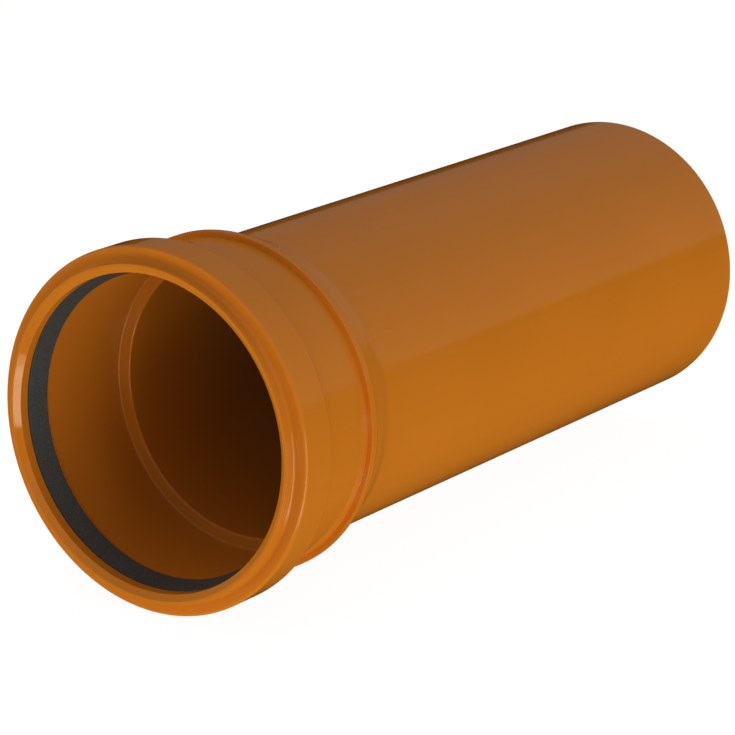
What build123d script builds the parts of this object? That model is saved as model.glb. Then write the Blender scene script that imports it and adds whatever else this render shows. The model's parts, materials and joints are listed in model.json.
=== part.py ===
from build123d import *
import math
import os

# Smooth-wall sewer pipe with a push-fit socket and a rubber lip seal.
# Millimetres. The pipe lies level along X: the socket's mouth faces -X, and the
# origin is the centre of the spigot's end face. +Z is up.
# Depths are measured from the mouth's face into the pipe, and radii from its axis.

# Barrel
barrel_radius = 100.0
barrel_wall = 8.0
pipe_length = 551.0

# Socket bore, which a spigot of the barrel's own size slides into
socket_clearance = 0.4
socket_depth = 100.0
socket_wall = 5.9
shoulder_run = 0.9
shoulder_root_round = 2.5
shoulder_edge_round = 2.5

# Nose, the plain ring in front of the bead, with a lead-in inside its mouth
nose_length = 7.2
nose_root_round = 2.0
lead_in_depth = 3.0
lead_in_height = 3.9

# Groove for the seal, and the bead that houses it
groove_front_wall = 2.6
groove_width = 18.7
groove_height = 9.7
bead_end_wall = 5.0
bead_back_run = 3.0
bead_front_round = 2.0
bead_back_round = 1.5

# Collar at the socket's root, and the taper from it to the barrel
collar_lead = 16.5
collar_height = 3.8
collar_width = 5.0
taper_run = 23.5
taper_start_round = 3.0
taper_end_round = 12.0

# Lip seal
seal_clearance = 0.3
seal_front_gap = 1.0
seal_step = 0.1
seal_bite = 3.4
seal_lip_reach = 14.0
seal_lip_thickness = 3.0
seal_pocket_depth = 6.0
seal_pocket_opening = 1.5
seal_foot_height = 6.4

# Worked out from the sizes above
bore_radius = barrel_radius - barrel_wall
socket_radius = barrel_radius + socket_clearance
tube_radius = socket_radius + socket_wall
groove_start = nose_length + groove_front_wall
groove_end = groove_start + groove_width
groove_radius = socket_radius + groove_height
bead_radius = groove_radius + socket_wall
bead_end = groove_end + bead_end_wall
collar_radius = tube_radius + collar_height
collar_start = socket_depth - collar_lead
collar_end = collar_start + collar_width
taper_end = collar_end + taper_run


def turned(corners):
    """Turns a closed outline of (depth, radius, corner round) about the pipe's axis."""
    points = [(depth - pipe_length, radius) for depth, radius, _ in corners]
    rounds = [corner_round for _, _, corner_round in corners]
    with BuildPart() as body:
        with BuildSketch(Plane.XY):
            with BuildLine():
                FilletPolyline(*points, radius=rounds, close=True)
            make_face()
        revolve(axis=Axis.X)
    return body.part


def socketed_pipe():
    """The one-piece pipe: nose, bead, socket tube, collar, taper and barrel."""
    mouth = [
        (groove_start, socket_radius, 0),
        (lead_in_depth, socket_radius, 0),
        (0, socket_radius + lead_in_height, 0),
        (0, tube_radius, 0),
    ]
    bead = [
        (nose_length, tube_radius, nose_root_round),
        (nose_length, bead_radius, bead_front_round),
        (bead_end, bead_radius, bead_back_round),
        (bead_end + bead_back_run, tube_radius, 0),
    ]
    collar_and_barrel = [
        (collar_start, tube_radius, 0),
        (collar_start, collar_radius, 0),
        (collar_end, collar_radius, taper_start_round),
        (taper_end, barrel_radius, taper_end_round),
        (pipe_length, barrel_radius, 0),
        (pipe_length, bore_radius, 0),
    ]
    socket_inside = [
        (socket_depth + shoulder_run, bore_radius, shoulder_edge_round),
        (socket_depth, socket_radius, shoulder_root_round),
        (groove_end, socket_radius, 0),
        (groove_end, groove_radius, 0),
        (groove_start, groove_radius, 0),
    ]
    return turned(mouth + bead + collar_and_barrel + socket_inside)


def sealing_ring():
    """The lip seal: a foot that fills the groove and a lip that slopes inwards."""
    front = groove_start + seal_front_gap
    back = groove_end - seal_clearance
    seat_radius = groove_radius - seal_clearance
    front_radius = socket_radius - seal_step
    tip_depth = front + seal_lip_reach
    tip_radius = barrel_radius - seal_bite
    # The lip's back runs parallel to its face, one lip thickness behind it.
    slope = math.atan2(front_radius - tip_radius, seal_lip_reach)
    heel_depth = tip_depth + seal_lip_thickness * math.sin(slope)
    heel_radius = tip_radius + seal_lip_thickness * math.cos(slope)
    pocket_depth = heel_depth - seal_pocket_depth
    pocket_radius = heel_radius + seal_pocket_depth * math.tan(slope)
    foot_radius = seat_radius - seal_foot_height
    return turned(
        [
            (front, seat_radius, 0),
            (front, front_radius, 0),
            (tip_depth, tip_radius, 0),
            (heel_depth, heel_radius, 0),
            (pocket_depth, pocket_radius, 0),
            (pocket_depth + seal_pocket_opening, foot_radius, 0),
            (back, foot_radius, 0),
            (back, seat_radius, 0),
        ]
    )


os.makedirs("parts", exist_ok=True)
export_step(socketed_pipe(), "parts/socketed_pipe.step")
export_step(sealing_ring(), "parts/sealing_ring.step")
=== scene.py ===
import json
import math

import bpy
import numpy as np
from bpy.props import FloatProperty, FloatVectorProperty, IntProperty, PointerProperty
from mathutils import Matrix, Vector

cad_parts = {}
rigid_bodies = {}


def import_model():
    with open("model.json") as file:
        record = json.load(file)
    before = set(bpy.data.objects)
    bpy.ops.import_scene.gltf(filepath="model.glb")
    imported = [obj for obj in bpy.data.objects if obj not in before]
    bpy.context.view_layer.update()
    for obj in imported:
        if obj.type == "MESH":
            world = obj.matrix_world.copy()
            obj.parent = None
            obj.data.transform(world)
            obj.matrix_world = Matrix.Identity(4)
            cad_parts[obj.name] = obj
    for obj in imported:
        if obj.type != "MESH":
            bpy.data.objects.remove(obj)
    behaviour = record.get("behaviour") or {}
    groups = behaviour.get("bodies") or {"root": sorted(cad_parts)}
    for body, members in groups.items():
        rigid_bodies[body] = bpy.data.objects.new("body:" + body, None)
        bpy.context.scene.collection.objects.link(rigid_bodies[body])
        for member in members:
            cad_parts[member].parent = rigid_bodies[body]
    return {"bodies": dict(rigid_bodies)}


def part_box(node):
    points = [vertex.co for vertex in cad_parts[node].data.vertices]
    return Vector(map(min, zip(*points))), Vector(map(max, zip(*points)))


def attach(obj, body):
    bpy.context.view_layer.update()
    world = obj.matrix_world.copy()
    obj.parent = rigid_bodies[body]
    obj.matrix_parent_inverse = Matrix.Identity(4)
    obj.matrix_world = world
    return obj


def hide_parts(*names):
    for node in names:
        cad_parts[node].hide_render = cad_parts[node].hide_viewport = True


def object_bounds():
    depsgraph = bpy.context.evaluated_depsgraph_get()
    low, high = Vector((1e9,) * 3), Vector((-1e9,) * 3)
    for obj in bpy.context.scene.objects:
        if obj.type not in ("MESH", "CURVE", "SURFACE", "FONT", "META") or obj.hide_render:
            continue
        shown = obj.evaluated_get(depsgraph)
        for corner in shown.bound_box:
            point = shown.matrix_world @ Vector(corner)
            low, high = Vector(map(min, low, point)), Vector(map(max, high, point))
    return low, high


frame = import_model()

bl_info = {
    "name": "Sewer pipe with push-fit socket",
    "version": (1, 0, 0),
    "blender": (4, 5, 0),
    "location": "3D View > Sidebar > Sewer Pipe",
    "description": "Builds a smooth-wall sewer pipe with its socket, its lip seal and a plain stage",
    "category": "Object",
}

PIPE_NODE = "socketed_pipe"
SEAL_NODE = "sealing_ring"
BODY = next(iter(frame["bodies"]))
CAD_BOX = [list(corner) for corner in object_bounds()]
PIPE_LOW, PIPE_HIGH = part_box(PIPE_NODE)
MM = 0.001
PIXELS = 735
LAMP_DISTANCE = 30.0
SENSOR = 36.0


def length(name, description, default, **more):
    """A size property in metres, whose default is given in millimetres."""
    return FloatProperty(
        name=name, description=description, default=default * MM, min=0.0, precision=5,
        subtype="DISTANCE", unit="LENGTH", **more
    )


def colour(name, description, default):
    """A linear colour property."""
    return FloatVectorProperty(
        name=name, description=description, default=default, size=3, min=0.0, max=1.0, subtype="COLOR"
    )


def share(name, description, default, top=1.0):
    """A plain number from 0 up."""
    return FloatProperty(
        name=name, description=description, default=default, min=0.0, max=top, precision=3, subtype="FACTOR"
    )


# Settings shown in the sidebar


class PipeSizes(bpy.types.PropertyGroup):
    """Sizes of the one-piece pipe. Depths are from the mouth's face, radii from the axis."""

    pipe_length: length("Length", "From the mouth's face to the spigot's end", (PIPE_HIGH.x - PIPE_LOW.x) / MM)
    barrel_radius: length("Barrel radius", "Outside of the plain barrel", 100.0)
    barrel_wall: length("Barrel wall", "Thickness of the plain barrel", 8.0)
    socket_radius: length("Socket radius", "Inside of the socket", 100.4)
    socket_wall: length("Socket wall", "Thickness of the socket's wall", 5.9)
    socket_depth: length("Socket depth", "From the mouth's face to the inner shoulder", 100.0)
    shoulder_run: length("Shoulder run", "How far the shoulder leans along the pipe", 0.9)
    shoulder_round: length("Shoulder round", "Radius at the shoulder's root and edge", 1.5)
    nose_length: length("Nose length", "Plain ring in front of the bead", 7.2)
    nose_root_round: length("Nose root round", "Radius where the nose meets the bead", 2.6)
    lead_in_depth: length("Lead-in depth", "Depth of the cone inside the mouth", 3.15)
    lead_in_height: length("Lead-in height", "How far the cone opens the mouth", 3.9)
    groove_start: length("Groove start", "Front wall of the seal's groove", 9.8)
    groove_width: length("Groove width", "Width of the seal's groove", 18.7)
    groove_height: length("Groove height", "Depth of the groove outwards from the socket's inside", 9.7)
    bead_radius: length("Bead radius", "Outside of the bead", PIPE_HIGH.y / MM)
    bead_end: length("Bead end", "Where the bead's top ends", 33.5)
    bead_back_run: length("Bead back", "How far the bead's back slopes", 3.0)
    bead_round: length("Bead round", "Radius of the bead's edges", 2.2)
    collar_start: length("Collar start", "Front wall of the collar", 83.5)
    collar_width: length("Collar width", "Width of the collar's top", 5.0)
    collar_radius: length("Collar radius", "Outside of the collar", 110.1)
    collar_round: length("Collar round", "Radius where the collar's top meets the taper", 3.0)
    taper_run: length("Taper run", "From the collar to the plain barrel", 23.5)
    taper_round: length("Taper round", "Radius where the taper meets the barrel", 30.0)
    edge_round: length("Edge round", "Radius on edges that are otherwise sharp", 0.3)
    steps_round: IntProperty(name="Steps around", description="Faces around the pipe", default=512, min=24)


class SealSizes(bpy.types.PropertyGroup):
    """Sizes of the rubber lip seal."""

    front: length("Front", "Depth of the seal's front face", 10.8)
    front_radius: length("Front radius", "Inside edge of the front face", 100.3)
    tip_depth: length("Tip depth", "Depth of the lip's tip", 24.8)
    tip_radius: length("Tip radius", "Inside radius at the lip's tip", 96.6)
    lip_thickness: length("Lip thickness", "Thickness of the lip", 3.0)
    pocket_depth: length("Pocket depth", "Depth of the hollow behind the lip", 6.0)
    pocket_opening: length("Pocket opening", "Run of the hollow's bottom", 1.5)
    foot_height: length("Foot height", "Height of the foot in the groove", 6.4)
    seat_radius: length("Seat radius", "Outside of the foot", 109.8)
    back: length("Back", "Depth of the seal's back face", 28.2)
    edge_round: length("Edge round", "Radius of the seal's edges", 0.45)
    steps_round: IntProperty(name="Steps around", description="Faces around the seal", default=288, min=24)


class Finish(bpy.types.PropertyGroup):
    """Colours and gloss of the two materials, with a painted shade colour for the bore and a painted light colour
    for two corner walls.
    """

    plastic: colour("Plastic", "Body colour of the polypropylene", (0.550, 0.173, 0.0122))
    # Painted shade: the bore colour is a darker brown that stands in for the shade deep inside the socket and bore.
    bore: colour("Bore", "Body colour deep inside, where the skin is duller", (0.330, 0.172, 0.0200))
    # Painted light: a lighter, redder colour that stands in for light bouncing into the corners before the bead and
    # the collar.
    corner: colour("Corner", "Body colour in the corners before the bead and the collar", (0.650, 0.188, 0.0122))
    plastic_gloss: share("Plastic roughness", "Roughness of the moulded skin", 0.09)
    rubber: colour("Rubber", "Body colour of the seal", (0.0485, 0.0590, 0.0605))
    rubber_gloss: share("Rubber roughness", "Roughness of the seal", 0.45)


class StageSettings(bpy.types.PropertyGroup):
    """Floor, lamps and camera."""

    floor_size: length("Floor size", "Side of the square floor", 24000.0)
    floor_colour: colour("Floor", "Colour of the floor", (0.62, 0.62, 0.62))
    floor_white: share("Floor white", "How much of the floor is plain white to the camera", 0.85)
    above: share("From above", "Matt light from overhead", 0.81, top=10.0)
    below: share("From below", "Matt light from underneath", 1.02, top=10.0)
    behind: share("From behind", "Matt light from the spigot's end", 0.28, top=10.0)
    ahead: share("From ahead", "Matt light from straight in front of the mouth", 0.34, top=10.0)
    sky: share("Sky in gloss", "What polished surfaces reflect above the horizon", 0.18)
    ground: share("Ground in gloss", "What polished surfaces reflect below the horizon", 0.004)
    warm: colour("Warm lamp", "Colour of the lamps that show in the gloss", (1.0, 0.80, 0.53))
    key_radiance: share("Key lamp", "Brightness of the tall lamp beside the camera", 6.3, top=100.0)
    low_radiance: share("Low lamp", "Brightness of the lamp low in front", 2.5, top=100.0)
    front_radiance: share("Front side lamp", "Brightness of the matt lamp at the front, right", 4.9, top=100.0)
    side_radiance: share("Side lamp", "Brightness of the matt lamp straight to the right", 2.9, top=100.0)
    left_radiance: share("Left lamp", "Brightness of the matt lamp at the front, left", 2.6, top=100.0)


# Surfaces worked out with numpy


def rounded_outline(corners, steps):
    """Points and outward normals of a closed outline with an arc at each corner.

    A corner is (depth, radius, arc radius). With u and v the directions to the neighbouring
    corners and 2g the angle between them, the arc's centre lies on the bisector at arc / sin g, and
    it starts and ends at arc / tan g from the corner. Between the two ends the point turns about
    the centre at an even pace. The corners are first put in anticlockwise order.
    """
    table = np.array(corners, float)
    ahead = np.roll(table, -1, 0)
    if (table[:, 0] * ahead[:, 1] - ahead[:, 0] * table[:, 1]).sum() < 0:
        table = table[::-1]
    point, arc = table[:, :2], table[:, 2:3]
    u = np.roll(point, 1, 0) - point
    v = np.roll(point, -1, 0) - point
    u /= np.linalg.norm(u, axis=1, keepdims=True)
    v /= np.linalg.norm(v, axis=1, keepdims=True)
    half = np.arccos(np.clip((u * v).sum(1, keepdims=True), -1, 1)) / 2
    bisector = (u + v) / np.linalg.norm(u + v, axis=1, keepdims=True)
    centre = point + bisector * arc / np.sin(half)
    start = point + u * arc / np.tan(half) - centre
    end = point + v * arc / np.tan(half) - centre
    sweep = (math.pi - 2 * half)[:, None, :]
    pace = np.linspace(0, 1, steps)[None, :, None]
    spoke = (np.sin((1 - pace) * sweep) * start[:, None] + np.sin(pace * sweep) * end[:, None]) / np.sin(sweep)
    hollow = np.sign(u[:, 0] * v[:, 1] - u[:, 1] * v[:, 0])[:, None, None]
    normal = -hollow * spoke / arc[:, None]
    return (centre[:, None] + spoke).reshape(-1, 2), normal.reshape(-1, 2)


def turned_mesh(name, outline, normal, mouth, steps):
    """Carries an outline round the X axis: point (x, r) at angle a goes to (x, r cos a, r sin a)."""
    angle = np.arange(steps) * (2 * math.pi / steps)
    ring = np.stack([np.zeros(steps), np.cos(angle), np.sin(angle)], 1)
    axis = np.array([1.0, 0.0, 0.0])

    def carried(pairs, offset):
        return ((pairs[:, 0] + offset)[:, None, None] * axis + pairs[:, 1][:, None, None] * ring).reshape(-1, 3)

    count = len(outline)
    row = np.arange(count)[:, None] * steps
    next_row = np.roll(row, -1, 0)
    column = np.arange(steps)[None, :]
    next_column = np.roll(column, -1, 1)
    faces = np.stack([row + column, next_row + column, next_row + next_column, row + next_column], -1)
    mesh = bpy.data.meshes.new(name)
    mesh.from_pydata(carried(outline, mouth), [], faces.reshape(-1, 4).tolist())
    mesh.polygons.foreach_set("use_smooth", np.ones(count * steps, bool))
    mesh.normals_split_custom_set_from_vertices(carried(normal, 0.0))
    mesh.validate()
    mesh.update()
    return mesh


def place(name, mesh, material, node):
    """Puts a mesh into the scene as a piece that rides on the part and stands for a CAD node."""
    old = bpy.data.objects.get(name)
    if old is not None:
        bpy.data.objects.remove(old)
    piece = bpy.data.objects.new(name, mesh)
    bpy.context.scene.collection.objects.link(piece)
    mesh.materials.append(material)
    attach(piece, BODY)
    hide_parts(node)
    return piece


# Materials


class Value:
    """A shader socket that takes part in Python arithmetic. Each operation adds one Math node."""

    def __init__(self, sheet, socket):
        self.sheet, self.socket = sheet, socket

    def math(self, operation, *others):
        return self.sheet.node("ShaderNodeMath", {"operation": operation}, {
            index: item for index, item in enumerate((self, *others))
        })[0]

    def turned(self, operation, other):
        return self.sheet.node("ShaderNodeMath", {"operation": operation}, {0: other, 1: self})[0]

    def __add__(self, other):
        return self.math("ADD", other)

    def __sub__(self, other):
        return self.math("SUBTRACT", other)

    def __rsub__(self, other):
        return self.turned("SUBTRACT", other)

    def __mul__(self, other):
        return self.math("MULTIPLY", other)

    def __truediv__(self, other):
        return self.math("DIVIDE", other)

    def __rtruediv__(self, other):
        return self.turned("DIVIDE", other)

    __radd__ = __add__
    __rmul__ = __mul__

    def at_least(self, least):
        """The larger of the two."""
        return self.math("MAXIMUM", least)

    def ramp(self, low, high):
        """0 below low, 1 above high, and smooth between them."""
        return self.sheet.node("ShaderNodeMapRange", {"interpolation_type": "SMOOTHSTEP"}, {
            "Value": self, "From Min": low, "From Max": high
        })[0]


class Made:
    """A new node's outputs, by name or by number."""

    def __init__(self, sheet, node):
        self.sheet, self.node = sheet, node

    def __getitem__(self, key):
        return Value(self.sheet, self.node.outputs[key])


class Sheet:
    """A node tree under construction."""

    def __init__(self, tree):
        self.tree = tree
        tree.nodes.clear()

    def node(self, kind, settings=None, inputs=None):
        """Adds a node of that kind: its settings first, then the value or the link of each input."""
        node = self.tree.nodes.new(kind)
        for name, value in (settings or {}).items():
            setattr(node, name, value)
        for key, value in (inputs or {}).items():
            if isinstance(value, Value):
                self.tree.links.new(value.socket, node.inputs[key])
            else:
                node.inputs[key].default_value = value
        return Made(self, node)

    def mix(self, factor, first, second):
        """A colour between two others."""
        return self.node("ShaderNodeMix", {"data_type": "RGBA"}, {0: factor, 6: first, 7: second})[2]

    def scaled(self, vector, by):
        """A vector times another, part by part."""
        return self.node("ShaderNodeVectorMath", {"operation": "MULTIPLY"}, {0: vector, 1: by})[0]

    def noise(self, vector, scale, detail=2.0, roughness=0.5):
        """A cloudy pattern from 0 to 1."""
        return self.node("ShaderNodeTexNoise", {"noise_dimensions": "3D"}, {
            "Vector": vector, "Scale": scale, "Detail": detail, "Roughness": roughness
        })[0]


def shade(rgb, by):
    """A colour, lighter or darker, as four numbers."""
    return (*[min(1.0, part * by) for part in rgb], 1.0)


def fresh_material(name):
    """An empty material of that name, and the sheet for its nodes."""
    material = bpy.data.materials.get(name) or bpy.data.materials.new(name)
    material.use_nodes = True
    return material, Sheet(material.node_tree)


def polypropylene(finish, sizes):
    """Satin orange-brown plastic: faint die lines along the pipe, slow colour drift, a sawn end, with painted shade
    deep in the bore and painted light on two corner walls and on the taper.
    """
    material, s = fresh_material("orange_brown_polypropylene")
    place_on = s.node("ShaderNodeTexCoord")["Object"]
    apart = s.node("ShaderNodeSeparateXYZ", None, {0: place_on})
    along = apart[0]
    radius = (apart[1] * apart[1] + apart[2] * apart[2]).math("SQRT")
    mouth = -sizes.pipe_length
    groove_end = mouth + sizes.groove_start + sizes.groove_width
    collar_end = mouth + sizes.collar_start + sizes.collar_width
    taper_end = collar_end + sizes.taper_run
    tube = sizes.socket_radius + sizes.socket_wall
    drift = s.noise(place_on, 9.0, 2.0)
    die_lines = s.noise(s.scaled(place_on, (0.6, 1.0, 1.0)), 260.0, 1.0)
    streaks = s.noise(s.scaled(place_on, (0.03, 1.0, 1.0)), 150.0, 3.0, 0.6)
    grain = s.noise(place_on, 1400.0, 2.0, 0.6)
    on_barrel = along.ramp(taper_end + 0.06, taper_end + 0.30)
    sawn = along.ramp(-0.0006, -0.0002)
    saw_marks = s.noise(s.scaled(place_on, (1.0, 1.0, 0.06)), 900.0, 2.0)
    shoulder_start = mouth + sizes.socket_depth
    shoulder_end = shoulder_start + sizes.shoulder_run
    past_shoulder = along.ramp(shoulder_start, shoulder_end)
    bore_step = sizes.socket_radius + sizes.barrel_wall - sizes.barrel_radius
    within = 1 - (radius + past_shoulder * bore_step).ramp(sizes.socket_radius + 0.001, sizes.socket_radius + 0.004)
    # Painted shade: inside the socket and the bore the colour turns towards the darker bore colour the deeper it
    # lies past the seal's groove. It fades back out near the spigot's end and is partly lifted on the inner
    # shoulder.
    depth = s.node("ShaderNodeMapRange", None, {
        "Value": along, "From Min": groove_end, "From Max": mouth + 0.29
    })[0]
    blend = drift * 0.65 + streaks * 0.25 + grain * 0.10
    base = s.mix(blend.ramp(0.25, 0.75), shade(finish.plastic, 0.965), shade(finish.plastic, 1.035))
    near_end = along.ramp(-0.24, -0.08)
    shoulder = along.ramp(shoulder_start - 0.0010, shoulder_start) * (1 - along.ramp(shoulder_end, shoulder_end + 0.0015))
    # Painted shade: the bore colour is mixed in where the masks above say the surface lies deep inside.
    base = s.mix(within * depth * (1 - near_end) * (1 - shoulder * 0.6), base, shade(finish.bore, 1.0))
    base = s.mix(sawn * 0.5, base, shade(finish.plastic, 1.12))
    # Painted light: the walls that face the mouth in front of the bead and the collar are painted lighter and
    # redder beside their corners, in place of the light that bounces there. The bead's wall gets less of it.
    corner = 0
    for start, strength in ((mouth + sizes.nose_length, 0.45), (mouth + sizes.collar_start, 1.0)):
        wall = along.ramp(start - 0.0015, start - 0.0002) * (1 - along.ramp(start + 0.0002, start + 0.0006))
        corner = corner + wall * strength
    base = s.mix(corner * radius.ramp(tube - 0.0002, tube + 0.0006), base, shade(finish.corner, 1.0))
    socket_skin = within * along.ramp(groove_end, groove_end + 0.003) * radius.ramp(
        sizes.socket_radius - 0.0012, sizes.socket_radius - 0.0004)
    # Painted light: the taper is painted lighter so that it doesn't look darker than the barrel where it leans away
    # from the light. The same band is also made a little rougher.
    taper_painted_light_and_rougher = (1 - within) * along.ramp(collar_end, collar_end + 0.003) * (
        1 - along.ramp(taper_end - 0.004, taper_end + 0.002))
    base = s.mix(taper_painted_light_and_rougher, base, shade(finish.plastic, 1.12))
    polish = finish.plastic_gloss + (drift - 0.5) * 0.05 + (grain - 0.5) * 0.04
    rough = polish + sawn * 0.34 + socket_skin * 0.24 + taper_painted_light_and_rougher * 0.09 + within * near_end * 0.35
    height = (streaks * 0.5 + die_lines * 0.12 + grain * 0.05) * on_barrel + saw_marks * sawn * 4.0
    bump = s.node("ShaderNodeBump", None, {"Strength": 0.10, "Distance": 0.0004, "Height": height})[0]
    surface = s.node("ShaderNodeBsdfPrincipled", None, {
        "Base Color": base, "Roughness": rough, "IOR": 1.49, "Normal": bump
    })[0]
    s.node("ShaderNodeOutputMaterial", None, {"Surface": surface})
    return material


def rubber(finish):
    """Matt black rubber with a fine leathery grain."""
    material, s = fresh_material("black_seal_rubber")
    place_on = s.node("ShaderNodeTexCoord")["Object"]
    cells = s.node("ShaderNodeTexVoronoi", {"feature": "DISTANCE_TO_EDGE"}, {"Vector": place_on, "Scale": 520.0})[0]
    grain = s.noise(place_on, 700.0, 3.0, 0.6)
    cloud = s.noise(place_on, 30.0, 2.0)
    raised = cells.ramp(0.0, 0.25)
    blend = raised * 0.5 + grain.ramp(0.3, 0.7) * 0.3 + cloud * 0.2
    base = s.mix(blend, shade(finish.rubber, 0.66), shade(finish.rubber, 1.24))
    rough = finish.rubber_gloss + (grain - 0.5) * 0.2
    bump = s.node("ShaderNodeBump", None, {
        "Strength": 0.5, "Distance": 0.0004, "Height": raised * 0.6 + grain * 0.4
    })[0]
    surface = s.node("ShaderNodeBsdfPrincipled", None, {
        "Base Color": base, "Roughness": rough, "IOR": 1.5, "Normal": bump
    })[0]
    s.node("ShaderNodeOutputMaterial", None, {"Surface": surface})
    return material


# Operators, one for each piece and one for the stage


class SEWER_PIPE_OT_socketed_pipe(bpy.types.Operator):
    """Make the pipe: nose, bead, socket, collar, taper and barrel in one piece"""

    bl_idname = "sewer_pipe.socketed_pipe"
    bl_label = "Socketed Pipe"
    bl_options = {"REGISTER", "UNDO"}

    def execute(self, context):
        z = context.scene.sewer_pipe_sizes
        edge = z.edge_round
        bore = z.barrel_radius - z.barrel_wall
        tube = z.socket_radius + z.socket_wall
        groove_end = z.groove_start + z.groove_width
        groove_radius = z.socket_radius + z.groove_height
        collar_end = z.collar_start + z.collar_width
        corners = [
            (z.groove_start, z.socket_radius, edge),
            (z.lead_in_depth, z.socket_radius, edge),
            (0.0, z.socket_radius + z.lead_in_height, edge),
            (0.0, tube, edge),
            (z.nose_length, tube, z.nose_root_round),
            (z.nose_length, z.bead_radius, z.bead_round),
            (z.bead_end, z.bead_radius, z.bead_round),
            (z.bead_end + z.bead_back_run, tube, edge),
            (z.collar_start, tube, edge),
            (z.collar_start, z.collar_radius, edge),
            (collar_end, z.collar_radius, z.collar_round),
            (collar_end + z.taper_run, z.barrel_radius, z.taper_round),
            (z.pipe_length, z.barrel_radius, edge),
            (z.pipe_length, bore, edge),
            (z.socket_depth + z.shoulder_run, bore, z.shoulder_round),
            (z.socket_depth, z.socket_radius, z.shoulder_round),
            (groove_end, z.socket_radius, edge),
            (groove_end, groove_radius, edge),
            (z.groove_start, groove_radius, edge),
        ]
        outline, normal = rounded_outline(corners, 9)
        mesh = turned_mesh("socketed_pipe_skin", outline, normal, -z.pipe_length, z.steps_round)
        material = polypropylene(context.scene.sewer_pipe_finish, z)
        piece = place("moulded_pipe", mesh, material, PIPE_NODE)
        return {"FINISHED"}


class SEWER_PIPE_OT_sealing_ring(bpy.types.Operator):
    """Make the rubber lip seal that sits in the socket's groove"""

    bl_idname = "sewer_pipe.sealing_ring"
    bl_label = "Sealing Ring"
    bl_options = {"REGISTER", "UNDO"}

    def execute(self, context):
        z = context.scene.sewer_pipe_seal
        mouth = -context.scene.sewer_pipe_sizes.pipe_length
        slope = math.atan2(z.front_radius - z.tip_radius, z.tip_depth - z.front)
        heel_depth = z.tip_depth + z.lip_thickness * math.sin(slope)
        heel_radius = z.tip_radius + z.lip_thickness * math.cos(slope)
        pocket = heel_depth - z.pocket_depth
        foot = z.seat_radius - z.foot_height
        edge = z.edge_round
        corners = [
            (z.front, z.seat_radius, edge),
            (z.front, z.front_radius, edge),
            (z.tip_depth, z.tip_radius, edge * 2),
            (heel_depth, heel_radius, edge),
            (pocket, heel_radius + z.pocket_depth * math.tan(slope), edge),
            (pocket + z.pocket_opening, foot, edge),
            (z.back, foot, edge),
            (z.back, z.seat_radius, edge),
        ]
        outline, normal = rounded_outline(corners, 9)
        mesh = turned_mesh("sealing_ring_skin", outline, normal, mouth, z.steps_round)
        material = rubber(context.scene.sewer_pipe_finish)
        piece = place("lip_seal", mesh, material, SEAL_NODE)
        return {"FINISHED"}


def lay_floor(settings):
    """A level square floor under the pipe. It is white to the camera and keeps soft shadows."""
    half = settings.floor_size / 2
    level = CAD_BOX[0][2]
    mesh = bpy.data.meshes.new("floor")
    mesh.from_pydata([(-half, -half, level), (half, -half, level), (half, half, level), (-half, half, level)],
                     [], [(0, 1, 2, 3)])
    floor = bpy.data.objects.new("floor", mesh)
    bpy.context.scene.collection.objects.link(floor)
    material, s = fresh_material("floor")
    lit = settings.floor_colour[0] * settings.above * 2 / 3
    white = (1.01 - (1 - settings.floor_white) * lit) / settings.floor_white
    paint = s.node("ShaderNodeBsdfPrincipled", None, {
        "Base Color": (*settings.floor_colour, 1.0), "Roughness": 1.0, "Specular IOR Level": 0.0
    })[0]
    glow = s.node("ShaderNodeEmission", None, {"Color": (1.0, 1.0, 1.0, 1.0), "Strength": white})[0]
    seen = s.node("ShaderNodeLightPath")["Is Camera Ray"]
    surface = s.node("ShaderNodeMixShader", None, {0: seen * settings.floor_white, 1: paint, 2: glow})[0]
    s.node("ShaderNodeOutputMaterial", None, {"Surface": surface})
    mesh.materials.append(material)
    floor.visible_diffuse = False
    floor.visible_glossy = False
    floor.visible_shadow = False


def light_world(settings):
    """White to the camera. On matt surfaces it is soft light from above and below, with a little from
    either end of the pipe. In gloss it is a grey sky over dark ground."""
    world = bpy.data.worlds.new("studio")
    bpy.context.scene.world = world
    world.use_nodes = True
    world.cycles.sampling_method = "NONE"
    s = Sheet(world.node_tree)
    ray = s.node("ShaderNodeLightPath")
    seen = ray["Is Camera Ray"] + ray["Is Transmission Ray"]
    in_gloss = ray["Is Glossy Ray"]
    towards = s.node("ShaderNodeSeparateXYZ", None, {0: s.node("ShaderNodeTexCoord")["Generated"]})
    x, y, z = towards[0], towards[1], towards[2]
    overhead = z.at_least(0.0) * settings.above + (z * -1).at_least(0.0) * settings.below
    end_on = x.at_least(0.0) * settings.behind + (x * -1).at_least(0.0) * (x * x).ramp(0.50, 0.85) * settings.ahead
    far_side = 1 - 0.4 * y.ramp(0.1, 0.6)
    mirrored = z.ramp(0.06, 0.11) * (settings.sky - settings.ground) * far_side + settings.ground
    level = seen + (1 - seen) * (in_gloss * mirrored + (1 - in_gloss) * (overhead + end_on))
    back = s.node("ShaderNodeBackground", None, {"Color": level, "Strength": 1.0})[0]
    s.node("ShaderNodeOutputWorld", None, {"Surface": back})


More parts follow.
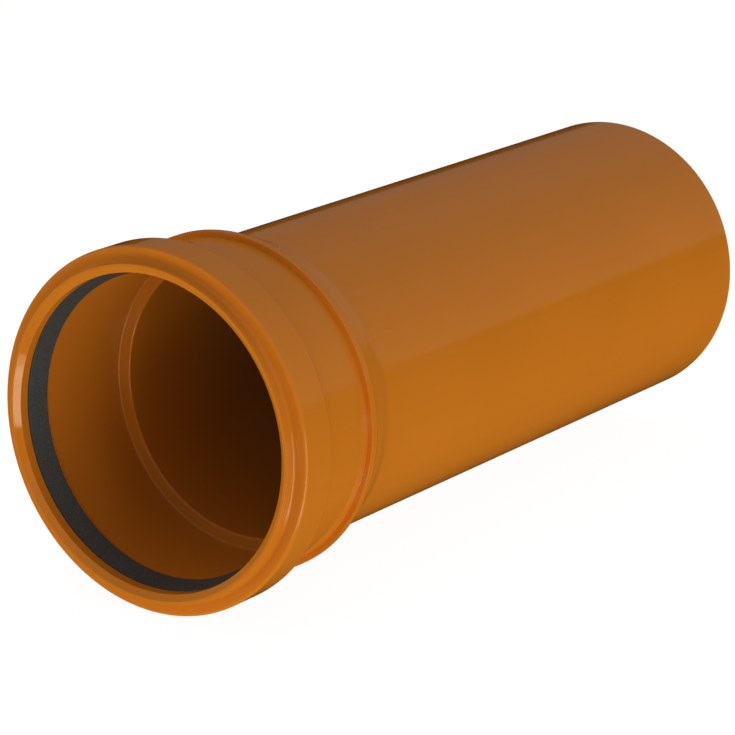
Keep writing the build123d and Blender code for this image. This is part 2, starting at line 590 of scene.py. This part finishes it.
def hang_lamp(name, sideways, level, width, height, radiance, tint=(1.0, 1.0, 1.0), in_gloss=False):
    """A rectangular soft lamp far from the mouth. Its middle lies at an angle sideways, measured in
    degrees from straight in front of the mouth towards -Y, and at a level above the horizon. Its width
    and height are the angles that it fills as seen from the mouth."""
    turn, rise = math.radians(sideways), math.radians(level)
    direction = Vector((-math.cos(turn) * math.cos(rise), -math.sin(turn) * math.cos(rise), math.sin(rise)))
    data = bpy.data.lights.new(name, "AREA")
    data.shape = "RECTANGLE"
    data.size = 2 * LAMP_DISTANCE * math.tan(math.radians(width / 2))
    data.size_y = 2 * LAMP_DISTANCE * math.tan(math.radians(height / 2))
    data.energy = radiance * math.pi * data.size * data.size_y
    data.color = tint
    lamp = bpy.data.objects.new(name, data)
    bpy.context.scene.collection.objects.link(lamp)
    lamp.location = Vector((CAD_BOX[0][0], 0.0, 0.0)) + direction * LAMP_DISTANCE
    lamp.rotation_mode = "QUATERNION"
    lamp.rotation_quaternion = direction.to_track_quat("Z", "Y")
    lamp.visible_camera = False
    lamp.visible_glossy = in_gloss


class SEWER_PIPE_OT_stage(bpy.types.Operator):
    """Make the floor, the lamps and the camera"""

    bl_idname = "sewer_pipe.stage"
    bl_label = "Stage"
    bl_options = {"REGISTER", "UNDO"}

    def execute(self, context):
        settings = context.scene.sewer_pipe_stage
        lay_floor(settings)
        light_world(settings)
        warm = settings.warm
        hang_lamp("key_lamp", 38.1, -24.8, 5.8, 32.5, settings.key_radiance, warm, in_gloss=True)
        hang_lamp("low_lamp", 22.1, -36.0, 26.2, 10.0, settings.low_radiance, warm, in_gloss=True)
        hang_lamp("front_lamp", 62.0, -25.0, 12.0, 46.0, settings.front_radiance, (1.0, 0.94, 0.82), in_gloss=True)
        hang_lamp("side_lamp", 92.0, -20.0, 30.0, 30.0, settings.side_radiance)
        hang_lamp("left_lamp", -55.0, -12.0, 40.0, 40.0, settings.left_radiance)
        data = bpy.data.cameras.new("camera")
        data.sensor_width = SENSOR
        data.lens = 163.226
        data.shift_x = -0.5 / PIXELS
        data.shift_y = 0.5 / PIXELS
        data.clip_end = 100.0
        camera = bpy.data.objects.new("camera", data)
        context.scene.collection.objects.link(camera)
        right = Vector((0.56914, -0.82224, 0.0))
        up = Vector((0.22417, 0.15517, 0.96211))
        turn = Matrix((right, up, right.cross(up))).transposed()
        camera.matrix_world = Matrix.Translation((-2.05984, -1.20889, 0.58935)) @ turn.to_4x4()
        context.scene.camera = camera
        context.scene.view_settings.view_transform = "Standard"
        return {"FINISHED"}


class VIEW3D_PT_sewer_pipe(bpy.types.Panel):
    """Lists the pipe's settings and the buttons that make it"""

    bl_label = "Sewer Pipe"
    bl_space_type = "VIEW_3D"
    bl_region_type = "UI"
    bl_category = "Sewer Pipe"

    def draw(self, context):
        layout = self.layout
        for title, settings, operator in (
            ("Pipe", context.scene.sewer_pipe_sizes, SEWER_PIPE_OT_socketed_pipe),
            ("Seal", context.scene.sewer_pipe_seal, SEWER_PIPE_OT_sealing_ring),
            ("Finish", context.scene.sewer_pipe_finish, None),
            ("Stage", context.scene.sewer_pipe_stage, SEWER_PIPE_OT_stage),
        ):
            box = layout.box()
            box.label(text=title)
            for name in settings.__annotations__:
                box.prop(settings, name)
            if operator is not None:
                box.operator(operator.bl_idname)


CLASSES = (
    PipeSizes,
    SealSizes,
    Finish,
    StageSettings,
    SEWER_PIPE_OT_socketed_pipe,
    SEWER_PIPE_OT_sealing_ring,
    SEWER_PIPE_OT_stage,
    VIEW3D_PT_sewer_pipe,
)
SETTINGS = {
    "sewer_pipe_sizes": PipeSizes,
    "sewer_pipe_seal": SealSizes,
    "sewer_pipe_finish": Finish,
    "sewer_pipe_stage": StageSettings,
}


def register():
    for item in CLASSES:
        bpy.utils.register_class(item)
    for name, group in SETTINGS.items():
        setattr(bpy.types.Scene, name, PointerProperty(type=group))


def unregister():
    for name in SETTINGS:
        delattr(bpy.types.Scene, name)
    for item in reversed(CLASSES):
        bpy.utils.unregister_class(item)


def main():
    register()
    bpy.ops.sewer_pipe.socketed_pipe()
    bpy.ops.sewer_pipe.sealing_ring()
    bpy.ops.sewer_pipe.stage()


if __name__ == "__main__":
    main()
